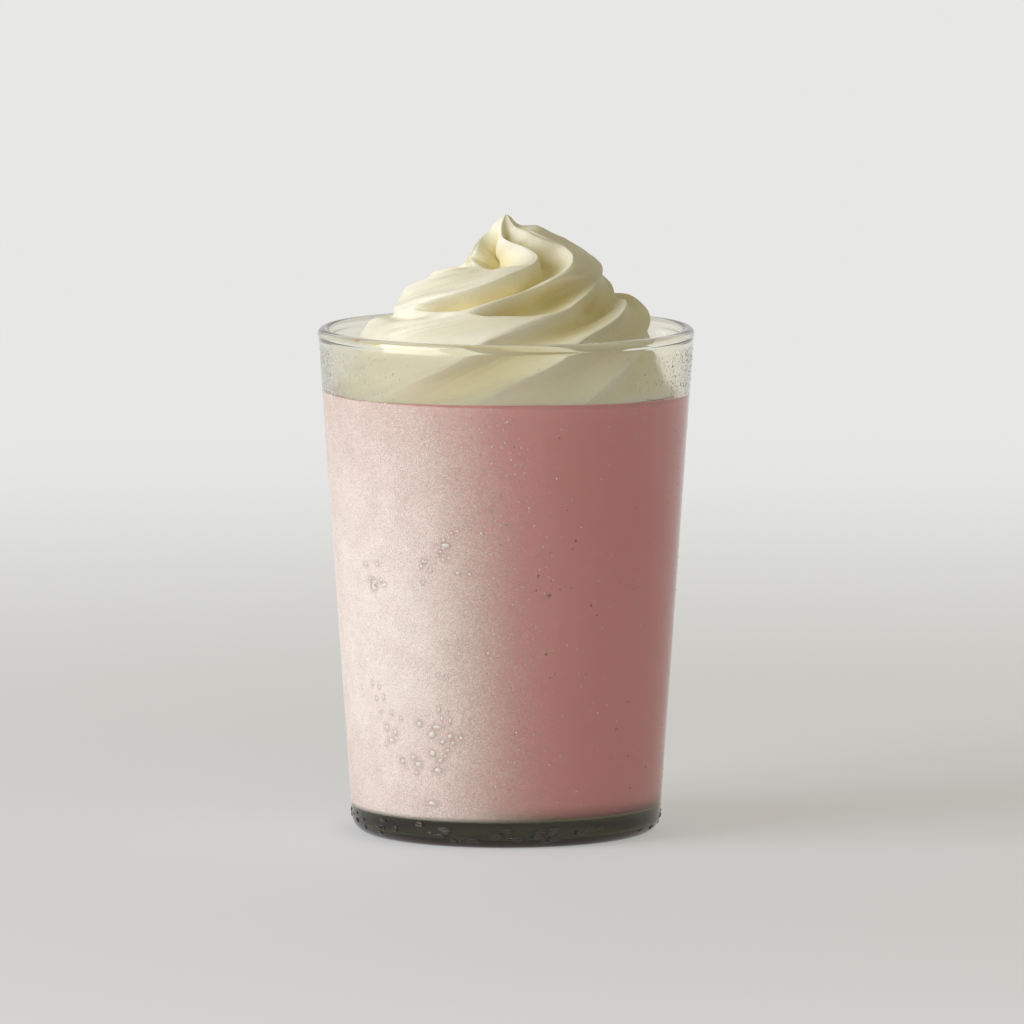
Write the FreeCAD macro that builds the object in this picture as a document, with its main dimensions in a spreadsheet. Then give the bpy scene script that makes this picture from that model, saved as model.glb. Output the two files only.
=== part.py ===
"""A strawberry milkshake in its tall tumbler, topped with a piped swirl of whipped cream.

Millimetres. +Z is up and the origin is the middle of the foot, on the surface that the glass
stands on. Angles run round the glass from the front (-Y) towards +X.
"""
import FreeCAD, Part
import Sketcher
import math
import os

doc = FreeCAD.newDocument("strawberry_milkshake")

# ---------------------------------------------------------------- driving dimensions
SIZES = [
    ("glass_height", 120.2, "foot to top of rim"),
    ("rim_radius", 44.65, "outside of the wall at its top"),
    ("base_radius", 36.45, "outside of the wall carried down to the foot"),
    ("wall_thickness", 2.3, "level thickness of the wall"),
    ("floor_height", 6.8, "top of the thick glass floor"),
    ("heel_round", 3.8, "rounding between wall and foot"),
    ("corner_round", 4.0, "rounding between wall and floor inside"),
    ("foot_margin", 7.5, "outside of the wall to the hollow under the foot"),
    ("punt_depth", 1.4, "how far that hollow goes up"),
    ("punt_round", 1.0, "rounding at the top of that hollow"),
    ("bead_swell", 0.25, "section radius of the rim's fire-polished bead over half the wall"),
    ("bead_bulge", 0.15, "how far that bead stands out from the wall"),
    ("headspace", 15.0, "top of the milkshake to the top of the rim"),
    ("cream_wall_gap", 0.8, "free ring between the cream's spread foot and the wall"),
    ("cream_height", 41.7, "drink to the tip of the cream"),
    ("cream_groove", 4.8, "deepest groove between two piped ridges"),
    ("tip_radius", 0.4, "flat at the very end of the pulled-up tip"),
]

sheet = doc.addObject("Spreadsheet::Sheet", "sizes")
for row, (alias, value, meaning) in enumerate(SIZES, start=1):
    sheet.set("A%d" % row, alias)
    sheet.set("B%d" % row, str(value))
    sheet.set("C%d" % row, meaning)
    sheet.setAlias("B%d" % row, alias)
doc.recompute()


def size(alias):
    return float(sheet.get(alias))


def wall_radius(height):
    """Formula for the outside radius of the straight, tapering wall at a height."""
    slope = "(sizes.rim_radius - sizes.base_radius) / sizes.glass_height"
    return "sizes.base_radius + %s * %s" % (slope, height)


def bore_radius(height):
    """Formula for the inside radius of the wall at a height."""
    return "%s - sizes.wall_thickness" % wall_radius(height)


DRINK_LEVEL = "(sizes.glass_height - sizes.headspace)"


# ---------------------------------------------------------------- helpers for turned bodies
def half_outline(body, name, corners):
    """Closed sketch on the body's XZ plane; each corner is a (radius, height) pair of formulas."""
    sketch = body.newObject("Sketcher::SketchObject", name)
    plane = next(part for part in body.Origin.OriginFeatures if part.Role == "XZ_Plane")
    sketch.AttachmentSupport = [(plane, "")]
    sketch.MapMode = "FlatFace"
    places = [[float(sheet.evalExpression(formula)) for formula in corner] for corner in corners]
    points = [FreeCAD.Vector(radius, height, 0) for radius, height in places]
    for start, end in zip(points, points[1:] + points[:1]):
        sketch.addGeometry(Part.LineSegment(start, end), False)
    for index in range(len(points)):
        joined = ("Coincident", index, 2, (index + 1) % len(points), 1)
        sketch.addConstraint(Sketcher.Constraint(*joined))
    for index, (corner, place) in enumerate(zip(corners, places)):
        for kind, axis, formula, value in zip("XY", (-2, -1), corner, place):
            if value == 0.0:
                sketch.addConstraint(Sketcher.Constraint("PointOnObject", index, 1, axis))
                continue
            number = sketch.addConstraint(
                Sketcher.Constraint("Distance" + kind, -1, 1, index, 1, value))
            sketch.setExpression("Constraints[%d]" % number, formula)
    return sketch


def turned(body, kind, name, corners):
    """Revolution or Groove of a half outline about the glass's own axis."""
    sketch = half_outline(body, name + "_outline", corners)
    feature = body.newObject("PartDesign::" + kind, name)
    feature.Profile = sketch
    feature.ReferenceAxis = (sketch, ["V_Axis"])
    feature.Angle = 360.0
    doc.recompute()
    return feature


def rounded(body, name, radius_formula, rings):
    """Fillet of the circular edges that lie at the given (radius, height) formulas."""
    base = body.Tip
    edges = []
    for ring in rings:
        radius, height = (float(sheet.evalExpression(formula)) for formula in ring)
        for number, edge in enumerate(base.Shape.Edges, start=1):
            if not isinstance(edge.Curve, Part.Circle):
                continue
            off = abs(edge.Curve.Radius - radius) + abs(edge.Curve.Center.z - height)
            if off < 0.001:
                edges.append("Edge%d" % number)
    fillet = body.newObject("PartDesign::Fillet", name)
    fillet.Base = (base, edges)
    fillet.setExpression("Radius", radius_formula)
    doc.recompute()
    return fillet


# ---------------------------------------------------------------- glass
# A plain tapering tumbler with a thick floor and a shallow hollow under the foot. The wall
# ends in a round fire-polished bead, which stands a little proud of it inside and outside.
BEAD_RADIUS = "(sizes.wall_thickness / 2 + sizes.bead_swell)"
BEAD_LEVEL = "(sizes.glass_height - %s)" % BEAD_RADIUS


def add_bead(body):
    """Ring of round section along the top of the wall."""
    bead = body.newObject("PartDesign::AdditiveTorus", "rim_bead")
    plane = next(part for part in body.Origin.OriginFeatures if part.Role == "XY_Plane")
    bead.AttachmentSupport = [(plane, "")]
    bead.MapMode = "FlatFace"
    bead.setExpression("AttachmentOffset.Base.z", BEAD_LEVEL)
    outside = wall_radius(BEAD_LEVEL) + " + sizes.bead_bulge"
    bead.setExpression("Radius1", "%s - %s" % (outside, BEAD_RADIUS))
    bead.setExpression("Radius2", BEAD_RADIUS)
    doc.recompute()


def make_glass():
    body = doc.addObject("PartDesign::Body", "glass")
    floor = "sizes.floor_height"
    top = BEAD_LEVEL
    turned(body, "Revolution", "blank", [
        ("0", "0"), ("sizes.base_radius", "0"), (wall_radius(top), top), ("0", top)])
    turned(body, "Groove", "bore", [
        ("0", floor), (bore_radius(floor), floor), (bore_radius(top), top), ("0", top)])
    punt = "sizes.base_radius - sizes.foot_margin"
    slant = punt + " - 2 * sizes.punt_depth"
    turned(body, "Groove", "punt", [
        ("0", "0"), (punt, "0"), (slant, "sizes.punt_depth"), ("0", "sizes.punt_depth")])
    rounded(body, "heel", "sizes.heel_round", [("sizes.base_radius", "0")])
    rounded(body, "inner_corner", "sizes.corner_round", [(bore_radius(floor), floor)])
    rounded(body, "punt_edge", "sizes.punt_round", [(slant, "sizes.punt_depth")])
    add_bead(body)
    return body


# ---------------------------------------------------------------- milkshake
# The drink fills the bore from the glass floor up to its level.
def make_milkshake():
    body = doc.addObject("PartDesign::Body", "milkshake")
    floor = "sizes.floor_height"
    level = DRINK_LEVEL
    turned(body, "Revolution", "filling", [
        ("0", floor), (bore_radius(floor), floor), (bore_radius(level), level), ("0", level)])
    rounded(body, "filling_corner", "sizes.corner_round", [(bore_radius(floor), floor)])
    return body


# ---------------------------------------------------------------- whipped cream
# The swirl is piped through a star nozzle with eight points, so its skin is a leaning mound
# whose ridges wind round it. Radii below are shares of the cream's foot radius, heights and
# groove depths are shares of its height and of the deepest groove.
FOOT_TO_TIP = [  # right-hand radius and height, left-hand radius and height
    (1.000, 0.000, 1.000, 0.000), (0.970, 0.029, 0.967, 0.029), (0.933, 0.077, 0.928, 0.077),
    (0.903, 0.144, 0.893, 0.144), (0.888, 0.230, 0.869, 0.225), (0.878, 0.307, 0.844, 0.297),
    (0.873, 0.369, 0.814, 0.353), (0.839, 0.439, 0.762, 0.403), (0.765, 0.518, 0.701, 0.446),
    (0.661, 0.571, 0.646, 0.508), (0.587, 0.628, 0.582, 0.590), (0.555, 0.719, 0.466, 0.657),
    (0.484, 0.787, 0.350, 0.691), (0.370, 0.851, 0.257, 0.707), (0.257, 0.904, 0.232, 0.758),
    (0.188, 0.933, 0.183, 0.832), (0.096, 0.938, 0.116, 0.897), (0.052, 0.961, 0.070, 0.954),
    (0.031, 0.985, 0.032, 0.986),
]
TWIST = [  # height, degrees that the ridges have wound by there
    (0.000, -99), (0.120, -83), (0.240, -66), (0.375, -52), (0.456, -34), (0.547, -11), (0.643, 20),
    (0.720, 43), (0.770, 60), (0.806, 66), (0.840, 60), (0.878, 38), (0.926, 24), (1.000, 16),
]
GROOVE = [  # height, share of the deepest groove
    (0.000, 0.05), (0.087, 0.60), (0.327, 0.88), (0.566, 1.00), (0.758, 1.00), (0.840, 0.88),
    (0.897, 0.56), (0.955, 0.14), (1.000, 0.02),
]
RIDGES = [  # degrees from the common twist, extra turn in the topmost curl and at the tip
    (-140, -8, 0), (-92, -34, 0), (-37, 1, -5), (0, -6, 25), (47, 0, 14), (86, 0, 4),
    (124, 0, 0), (170, 0, 0),
]
ALWAYS_OPEN, NEVER_CLOSED = -1.0, 2.0
GROOVES_BETWEEN = [  # share of depth, opening and closing height, place and bend of its bottom
    (1.0, ALWAYS_OPEN, NEVER_CLOSED, 0.5, 2.0), (1.6, 0.741, NEVER_CLOSED, 0.36, 1.3),
    (1.1, 0.500, NEVER_CLOSED, 0.36, 2.0), (1.25, 0.484, 0.624, 0.36, 2.0),
    (0.9, ALWAYS_OPEN, 0.566, 0.42, 2.0), (0.55, ALWAYS_OPEN, NEVER_CLOSED, 0.5, 2.0),
    (1.0, ALWAYS_OPEN, NEVER_CLOSED, 0.5, 2.0), (1.0, ALWAYS_OPEN, NEVER_CLOSED, 0.5, 2.0),
]
LEFT_IN_CLOSED = 0.12       # share of a groove that stays where it is closed
OPENING_STRETCH = 0.03      # share of the height over which a groove opens
CLOSING_STRETCH = 0.07
CURL_STRETCH = (0.71, 0.782)  # heights between which the topmost curl's extra turn sets in
TIP_STRETCH = (0.80, 0.90)  # and the tip's
CREST_ROUND = 0.09          # share of a ridge's spacing that its crest is rounded over
LOBE = (-62, 40, 0.303, 0.153, 1.0)      # smooth lower lobe: angle, spread, height, spread, bulge
LOBE_SMOOTHS = 0.85         # share of a groove that the lobe fills
SEAM = (0.509, 0.058, 0.022, 1.6)       # where one turn lies on the next: height, rise, width, depth
SEAM_IN_FRONT = 0.15        # share of the seam's depth that is left at the front and the back
COLUMNS_PER_RIDGE = 8
ROWS_PER_STATION = 3
SLOPE_STEP = 0.05           # stations either side of a point that its slope is taken over
ANGLE_ROUNDS = 30           # rounds that settle a point's angle and height against each other


def along(table, column, place, key=0):
    """Smooth curve through a table's rows at a place on its key column."""
    keys = [row[key] for row in table]
    values = [row[column] for row in table]
    last = len(keys) - 2
    at = min(max(sum(1 for k in keys if k <= place) - 1, 0), last)
    steps = [keys[i + 1] - keys[i] for i in range(last + 1)]
    slopes = [(values[i + 1] - values[i]) / steps[i] for i in range(last + 1)]

    def tangent(i):
        if i == 0:
            return slopes[0]
        if i == last + 1:
            return slopes[last]
        return (slopes[i - 1] * steps[i] + slopes[i] * steps[i - 1]) / (steps[i - 1] + steps[i])

    step = steps[at]
    t = (place - keys[at]) / step
    value = (2 * t**3 - 3 * t**2 + 1) * values[at] + (3 * t**2 - 2 * t**3) * values[at + 1]
    return value + step * ((t**3 - 2 * t**2 + t) * tangent(at) + (t**3 - t**2) * tangent(at + 1))


def ease(value):
    """0 below 0, 1 above 1 and a smooth step between."""
    value = min(max(value, 0.0), 1.0)
    return value * value * (3 - 2 * value)


def bell(offset, spread):
    return math.exp(-(offset / spread) ** 2)


def make_whipped_cream():
    level = float(sheet.evalExpression(DRINK_LEVEL))
    height = size("cream_height")
    foot_radius = float(sheet.evalExpression(bore_radius(DRINK_LEVEL))) - size("cream_wall_gap")
    blunt = size("tip_radius") / foot_radius
    sides = [(index,) + row for index, row in enumerate(FOOT_TO_TIP + [(blunt, 1.0, blunt, 1.0)])]
    ridges = RIDGES + [(RIDGES[0][0] + 360,) + RIDGES[0][1:]]

    def side(station):
        """Radius and height of the right and the left side, foot (0) to tip, in millimetres."""
        radii = [along(sides, column, station) * foot_radius for column in (1, 3)]
        heights = [along(sides, column, station) * height for column in (2, 4)]
        return radii[0], heights[0], radii[1], heights[1]

    def skin_point(station, here, before, after, ridge, share):
        """Point of the skin a share of the way from one ridge to the next."""
        angle = ridges[ridge][0] + (ridges[ridge + 1][0] - ridges[ridge][0]) * share
        for _ in range(ANGLE_ROUNDS):
            right = (1 + math.sin(math.radians(angle))) / 2
            up = (here[1] * right + here[3] * (1 - right)) / height
            curl = ease((up - CURL_STRETCH[0]) / (CURL_STRETCH[1] - CURL_STRETCH[0]))
            tip = ease((up - TIP_STRETCH[0]) / (TIP_STRETCH[1] - TIP_STRETCH[0]))
            start, end = (plan + in_curl * curl + at_tip * tip
                          for plan, in_curl, at_tip in ridges[ridge:ridge + 2])
            wanted = start + (end - start) * share + along(TWIST, 1, up)
            angle += 0.5 * (wanted - angle)
        radius, rise = (here[k] * right + here[k + 2] * (1 - right) for k in (0, 1))
        out, climb = ((after[k] - before[k]) * right + (after[k + 2] - before[k + 2]) * (1 - right)
                      for k in (0, 1))
        length = math.hypot(out, climb)

        # groove between this ridge and the next
        depth, opens, closes, bottom, bend = GROOVES_BETWEEN[ridge]
        near = min(share / bottom, (1 - share) / (1 - bottom)) / 2
        half = math.hypot(0.5, CREST_ROUND) - CREST_ROUND
        across = min((math.hypot(near, CREST_ROUND) - CREST_ROUND) / half, 1.0)
        is_open = ease((up - opens) / OPENING_STRETCH)
        is_open *= 1 - ease((up - closes) / CLOSING_STRETCH)
        depth *= LEFT_IN_CLOSED + (1 - LEFT_IN_CLOSED) * is_open
        groove = size("cream_groove") * along(GROOVE, 1, up) * depth * (1 - (1 - across) ** bend)

        # smooth lower lobe, and the seam where one turn of cream lies on the next
        apart = (angle - LOBE[0] + 180) % 360 - 180
        lobe = bell(apart, LOBE[1]) * bell(up - LOBE[2], LOBE[3])
        lean = math.sin(math.radians(angle))
        seam = bell(up - SEAM[0] - SEAM[1] * lean, SEAM[2])
        seam *= SEAM_IN_FRONT + (1 - SEAM_IN_FRONT) * abs(lean) ** 3
        bulge = LOBE[4] * lobe - groove * (1 - LOBE_SMOOTHS * lobe) - SEAM[3] * seam

        radius += bulge * climb / length
        rise -= bulge * out / length
        turned_by = math.radians(angle)
        return FreeCAD.Vector(radius * math.sin(turned_by), -radius * math.cos(turned_by), rise)

    rows = []
    last_station = len(sides) - 1
    for index in range(last_station * ROWS_PER_STATION + 1):
        station = index / ROWS_PER_STATION
        here = side(station)
        before = side(max(station - SLOPE_STEP, 0))
        after = side(min(station + SLOPE_STEP, last_station))
        rows.append([
            skin_point(station, here, before, after, ridge, column / COLUMNS_PER_RIDGE)
            for ridge in range(len(RIDGES)) for column in range(COLUMNS_PER_RIDGE)])
    for foot_point, tip_point in zip(rows[0], rows[-1]):
        foot_point.z = 0.0
        tip_point.z = height

    # one smooth skin, clamped at the foot and the tip and closed round the axis
    spans = len(rows) - 3
    columns = len(rows[0])
    skin = Part.BSplineSurface()
    skin.buildFromPolesMultsKnots(
        rows, [4] + [1] * (spans - 1) + [4], [1] * (columns + 1),
        list(range(spans + 1)), list(range(columns + 1)), False, True, 3, 3)
    side_face = skin.toShape()
    by_height = sorted(side_face.Edges, key=lambda edge: edge.BoundBox.ZMax + edge.BoundBox.ZMin)
    flats = [Part.Face(Part.Wire([edge])) for edge in (by_height[0], by_height[-1])]
    solid = Part.Solid(Part.Shell([side_face] + flats))
    solid.fix(0.001, 0.001, 0.001)
    cream = doc.addObject("Part::Feature", "whipped_cream")
    cream.Shape = solid
    cream.Placement = FreeCAD.Placement(FreeCAD.Vector(0, 0, level), FreeCAD.Rotation())
    return cream


# ---------------------------------------------------------------- build, check, write
parts = [make_glass(), make_milkshake(), make_whipped_cream()]
doc.recompute()
for item in doc.Objects:
    if "Invalid" in item.State or "Error" in item.State:
        raise RuntimeError("%s failed: %s" % (item.Name, item.State))
os.makedirs("parts", exist_ok=True)
for part in parts:
    if part.Shape.isNull() or not part.Shape.isValid() or part.Shape.Volume <= 0:
        raise RuntimeError("%s has no sound shape" % part.Label)
    part.Shape.exportStep("parts/%s.step" % part.Label)
    print("%-14s %10.1f mm3" % (part.Label, part.Shape.Volume))
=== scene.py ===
import math
import bpy
import numpy as np
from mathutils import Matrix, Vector


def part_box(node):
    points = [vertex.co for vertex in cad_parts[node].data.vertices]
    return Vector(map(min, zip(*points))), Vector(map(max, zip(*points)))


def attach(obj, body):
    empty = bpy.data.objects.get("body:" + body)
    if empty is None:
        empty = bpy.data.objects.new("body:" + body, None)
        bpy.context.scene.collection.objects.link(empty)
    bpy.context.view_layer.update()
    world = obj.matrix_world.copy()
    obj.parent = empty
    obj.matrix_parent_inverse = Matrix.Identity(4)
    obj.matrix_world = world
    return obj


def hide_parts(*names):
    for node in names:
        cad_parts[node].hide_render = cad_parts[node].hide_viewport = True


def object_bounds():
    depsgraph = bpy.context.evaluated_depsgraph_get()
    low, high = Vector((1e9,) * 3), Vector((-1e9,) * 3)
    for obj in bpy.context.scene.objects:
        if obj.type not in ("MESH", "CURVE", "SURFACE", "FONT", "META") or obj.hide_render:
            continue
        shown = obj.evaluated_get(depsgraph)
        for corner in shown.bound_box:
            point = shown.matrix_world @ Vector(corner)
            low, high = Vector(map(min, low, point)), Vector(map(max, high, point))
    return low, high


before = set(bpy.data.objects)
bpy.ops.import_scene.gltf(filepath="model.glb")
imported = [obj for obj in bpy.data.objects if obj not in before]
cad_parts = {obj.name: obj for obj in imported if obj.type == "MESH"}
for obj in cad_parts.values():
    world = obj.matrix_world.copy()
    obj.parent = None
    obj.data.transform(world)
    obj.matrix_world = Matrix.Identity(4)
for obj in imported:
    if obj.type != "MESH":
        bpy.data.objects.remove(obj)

packed_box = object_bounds()

# ---------------------------------------------------------------- room
# A pale studio table that runs out to a plain pale background. A long-lens camera looks at the
# front of the glass from a little above the rim, and a large softbox stands on its left.
CAMERA_DISTANCE = 3.197
CAMERA_PITCH = math.radians(6.465)
LENS = 471.5
AIM = Vector((0.0014, 0.0096, 0.0749))
camera_data = bpy.data.cameras.new("camera")
camera_data.lens = LENS
camera_data.sensor_width = 36.0
camera_data.clip_start = 0.05
camera_data.clip_end = 60.0
camera = bpy.data.objects.new("camera", camera_data)
bpy.context.scene.collection.objects.link(camera)
camera.location = AIM + CAMERA_DISTANCE * Vector((0, -math.cos(CAMERA_PITCH), math.sin(CAMERA_PITCH)))
camera.rotation_euler = (math.radians(90) - CAMERA_PITCH, 0, 0)
bpy.context.scene.camera = camera
bpy.context.scene.view_settings.view_transform = "Standard"

BACKDROP = (0.80, 0.80, 0.79)
FLOOR = (0.77, 0.80, 0.95)
TABLE_HALF_WIDTH = 14.0
SHADOW_REACH = (0.15, 0.9)   # the table keeps its own shading inside, and is plain backdrop outside
BACKDROP_AT_GLASS = 0.45     # share of plain backdrop that is laid over the table by the glass
ROOM_LIGHT = (1.0, 0.86, 0.39)
ROOM_STRENGTH = 0.29
KEY_COLOUR = (0.99, 0.99, 1.0)
KEY_PLACE = (-1.40, -0.68, 0.62)
KEY_WIDTH = 1.3
KEY_TALL = 1.2
KEY_WATTS = 23.2


def node_material(name):
    """New material with its node tree and its Principled shader."""
    material = bpy.data.materials.new(name)
    material.use_nodes = True
    return material, material.node_tree, material.node_tree.nodes["Principled BSDF"]


def combine(tree, operation, value, other):
    """A mask combined with a plain number or with another mask."""
    node = tree.nodes.new("ShaderNodeMath")
    node.operation = operation
    tree.links.new(value, node.inputs[0])
    if isinstance(other, float):
        node.inputs[1].default_value = other
    else:
        tree.links.new(other, node.inputs[1])
    return node.outputs[0]


def seen_directly(tree):
    """1 for what the camera, reflections and glass see, 0 for the light that things cast."""
    path = tree.nodes.new("ShaderNodeLightPath")
    seen = path.outputs["Is Camera Ray"]
    for ray in ("Is Glossy Ray", "Is Transmission Ray"):
        seen = combine(tree, "MAXIMUM", seen, path.outputs[ray])
    return seen


def table_material():
    """Matt pale board that fades into the plain backdrop away from the glass."""
    material, tree, shader = node_material("table_top")
    nodes, links = tree.nodes, tree.links
    shader.inputs["Base Color"].default_value = (*FLOOR, 1)
    shader.inputs["Roughness"].default_value = 0.7
    shader.inputs["Specular IOR Level"].default_value = 0.2
    place = nodes.new("ShaderNodeTexCoord")
    reach = nodes.new("ShaderNodeVectorMath")
    reach.operation = "LENGTH"
    links.new(place.outputs["Object"], reach.inputs[0])
    away = nodes.new("ShaderNodeMapRange")
    away.interpolation_type = "SMOOTHSTEP"
    away.inputs["From Min"].default_value, away.inputs["From Max"].default_value = SHADOW_REACH
    away.inputs["To Min"].default_value = BACKDROP_AT_GLASS
    links.new(reach.outputs["Value"], away.inputs["Value"])
    plain = nodes.new("ShaderNodeEmission")
    plain.inputs["Color"].default_value = (*BACKDROP, 1)
    mix = nodes.new("ShaderNodeMixShader")
    links.new(combine(tree, "MULTIPLY", away.outputs["Result"], seen_directly(tree)), mix.inputs[0])
    links.new(shader.outputs[0], mix.inputs[1])
    links.new(plain.outputs[0], mix.inputs[2])
    links.new(mix.outputs[0], nodes["Material Output"].inputs["Surface"])
    return material


def table_top():
    """One flat square that the glass stands on."""
    mesh = bpy.data.meshes.new("table_top")
    corners = [(-1, -1), (1, -1), (1, 1), (-1, 1)]
    mesh.from_pydata([(x * TABLE_HALF_WIDTH, y * TABLE_HALF_WIDTH, 0) for x, y in corners],
                     [], [(0, 1, 2, 3)])
    mesh.materials.append(table_material())
    table = bpy.data.objects.new("table_top", mesh)
    bpy.context.scene.collection.objects.link(table)


def studio_world():
    """Even pale surroundings; the camera, reflections and glass see the plain backdrop."""
    world = bpy.data.worlds.new("studio")
    bpy.context.scene.world = world
    world.use_nodes = True
    tree = world.node_tree
    light = tree.nodes["Background"]
    light.inputs["Color"].default_value = (*ROOM_LIGHT, 1)
    light.inputs["Strength"].default_value = ROOM_STRENGTH
    backdrop = tree.nodes.new("ShaderNodeBackground")
    backdrop.inputs["Color"].default_value = (*BACKDROP, 1)
    backdrop.inputs["Strength"].default_value = 1.0
    mix = tree.nodes.new("ShaderNodeMixShader")
    tree.links.new(seen_directly(tree), mix.inputs[0])
    tree.links.new(light.outputs[0], mix.inputs[1])
    tree.links.new(backdrop.outputs[0], mix.inputs[2])
    tree.links.new(mix.outputs[0], tree.nodes["World Output"].inputs["Surface"])


def key_softbox():
    """Soft rectangular lamp that faces the middle of the glass."""
    data = bpy.data.lights.new("key_softbox", "AREA")
    data.color = KEY_COLOUR
    data.shape = "RECTANGLE"
    data.size = KEY_WIDTH
    data.size_y = KEY_TALL
    data.energy = KEY_WATTS
    lamp = bpy.data.objects.new("key_softbox", data)
    bpy.context.scene.collection.objects.link(lamp)
    lamp.location = KEY_PLACE
    middle = Vector((0, 0, packed_box[1][2] / 2))
    lamp.rotation_euler = (middle - Vector(KEY_PLACE)).to_track_quat("-Z", "Y").to_euler()


table_top()
studio_world()
key_softbox()

# ---------------------------------------------------------------- glass
# A plain pressed tumbler of olive-tinted soda glass: straight tapering wall, thick floor with a
# shallow hollow under it, and a round fire-polished bead for a rim. Cold drink has misted it.
MM = 0.001
AROUND = 288                 # faces round the glass and round the drink
LONGEST_FACE = 2.0 * MM      # along a straight run of their outlines
GLASS_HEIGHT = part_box("glass")[1][2]
RIM_RADIUS = 44.65 * MM
BASE_RADIUS = 36.45 * MM
WALL = 2.3 * MM
GLASS_FLOOR = 6.8 * MM
HEEL_ROUND = 3.8 * MM
CORNER_ROUND = 4.0 * MM
FOOT_MARGIN = 7.5 * MM
PUNT_DEPTH = 1.4 * MM
PUNT_ROUND = 1.0 * MM
PUNT_EDGE = 0.3 * MM
BEAD_RADIUS = 1.4 * MM
BEAD_BULGE = 0.15 * MM
HEADSPACE = 15.0 * MM
DRINK_LEVEL = GLASS_HEIGHT - HEADSPACE
WALL_TINT = (0.985, 0.965, 0.87, 1)
# Dark tint of the foot: partly the thick glass's own colour, partly painted shade.
FOOT_TINT_AND_PAINTED_SHADE = (0.12, 0.125, 0.075, 1)
FOOT_TINT_AND_SHADE_STARTS = 0.1 * MM  # below the glass's floor
FOOT_TINT_AND_SHADE_FULL = 0.4 * MM
MELT_COLOUR = (0.42, 0.43, 0.25, 1)   # what a long way through the glass leaves of white light
MELT_DENSITY = 35.0
POLISH = 0.015               # roughness of the clean glass
MIST_HAZE = 0.14             # roughness that full mist adds
MIST_FADE = 1.5 * MM         # distance over which the mist starts below the rim's bead
DRY_HEEL = 1.0 * MM          # there is no mist on the foot up to this height
HEEL_FADE = 2.0 * MM         # and all of it this much higher
MIST_BESIDE_DRINK = 0.8
MIST_ABOVE_DRINK = 0.7
MIST_INSIDE = 0.35           # on the bore, from just below the drink line up


def wall_radius(height):
    """Outside radius of the wall at a height."""
    return BASE_RADIUS + (RIM_RADIUS - BASE_RADIUS) * height / GLASS_HEIGHT


def bore_radius(height):
    """Inside radius of the wall at a height."""
    return wall_radius(height) - WALL


def rounded_outline(corners, steps=8):
    """Half outline with its corners rounded: (radius, height, rounding) each, foot to end."""
    points = []
    for index, (radius, height, rounding) in enumerate(corners):
        corner = Vector((radius, height))
        if not rounding:
            points.append(corner)
            continue
        to_last = (Vector(corners[index - 1][:2]) - corner).normalized()
        to_next = (Vector(corners[index + 1][:2]) - corner).normalized()
        half_angle = to_last.angle(to_next) / 2
        centre = corner + (to_last + to_next).normalized() * rounding / math.sin(half_angle)
        first = corner + to_last * rounding / math.tan(half_angle) - centre
        last = corner + to_next * rounding / math.tan(half_angle) - centre
        for step in range(steps + 1):
            share = step / steps
            points.append(centre + (first * (1 - share) + last * share).normalized() * rounding)
    return points


def bead_corners(steps=36):
    """The rim's round bead where it stands clear of the wall, from outside to inside."""
    centre_height = GLASS_HEIGHT - BEAD_RADIUS
    centre_radius = wall_radius(centre_height) + BEAD_BULGE - BEAD_RADIUS
    neck = GLASS_HEIGHT - 2 * BEAD_RADIUS
    corners = [(wall_radius(neck), neck, 0)]
    for step in range(steps + 1):
        turn = math.radians(-60 + 300 * step / steps)
        radius = centre_radius + BEAD_RADIUS * math.cos(turn)
        height = centre_height + BEAD_RADIUS * math.sin(turn)
        if height > centre_height or not bore_radius(height) <= radius <= wall_radius(height):
            corners.append((radius, height, 0))
    return corners + [(bore_radius(neck), neck, 0)]


def ring_points(radius, height, angles):
    """Points of a level ring; angles are from the front of the glass, to its right."""
    return [(radius * math.sin(a), -radius * math.cos(a), height) for a in angles]


def faces_between(rings, around, first=0):
    """Faces that join rings of points, which are numbered from the first point of the lowest."""
    faces = []
    for low in range(first, first + (rings - 1) * around, around):
        high = low + around
        for column in range(around):
            after = (column + 1) % around
            faces.append((low + column, low + after, high + after, high + column))
    return faces


def closing_faces(around, lowest, foot_centre, highest, top_centre):
    """Triangles that close the lowest ring to a point and the highest ring to another."""
    faces = []
    for column in range(around):
        after = (column + 1) % around
        faces.append((foot_centre, lowest + after, lowest + column))
        faces.append((highest + column, highest + after, top_centre))
    return faces


def smooth_mesh(name, vertices, faces):
    """Mesh whose faces are shaded as one smooth surface."""
    mesh = bpy.data.meshes.new(name)
    mesh.from_pydata(vertices, [], faces)
    mesh.shade_smooth()
    return mesh


def turned_mesh(name, outline):
    """Closed mesh made by turning a half outline that starts and ends on the axis."""
    rings = outline[1:-1]
    angles = np.arange(AROUND) * 2 * math.pi / AROUND
    vertices = [(0, 0, outline[0][1])]
    for radius, height in rings:
        vertices += ring_points(radius, height, angles)
    highest = len(vertices) - AROUND
    vertices.append((0, 0, outline[-1][1]))
    faces = faces_between(len(rings), AROUND, 1)
    faces += closing_faces(AROUND, 1, 0, highest, len(vertices) - 1)
    return smooth_mesh(name, vertices, faces)


def add_piece(name, mesh, material, slot, *stands_for):
    """Puts a mesh in the scene as a piece of the object."""
    mesh.materials.append(material)
    piece = bpy.data.objects.new(name, mesh)
    bpy.context.scene.collection.objects.link(piece)
    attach(piece, "root")
    if stands_for:
        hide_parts(*stands_for)


def split_straight(outline):
    """The outline with its long straight runs divided, so that faces stay square."""
    points = [outline[0]]
    for start, end in zip(outline, outline[1:]):
        parts = max(1, math.ceil((end - start).length / LONGEST_FACE))
        points += [start.lerp(end, part / parts) for part in range(1, parts + 1)]
    return points


def set_mask(mesh, name, values):
    """Stores one number for each vertex, which the material reads by name."""
    mask = mesh.attributes.new(name, "FLOAT", "POINT")
    mask.data.foreach_set("value", np.asarray(values, np.float32))


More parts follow.
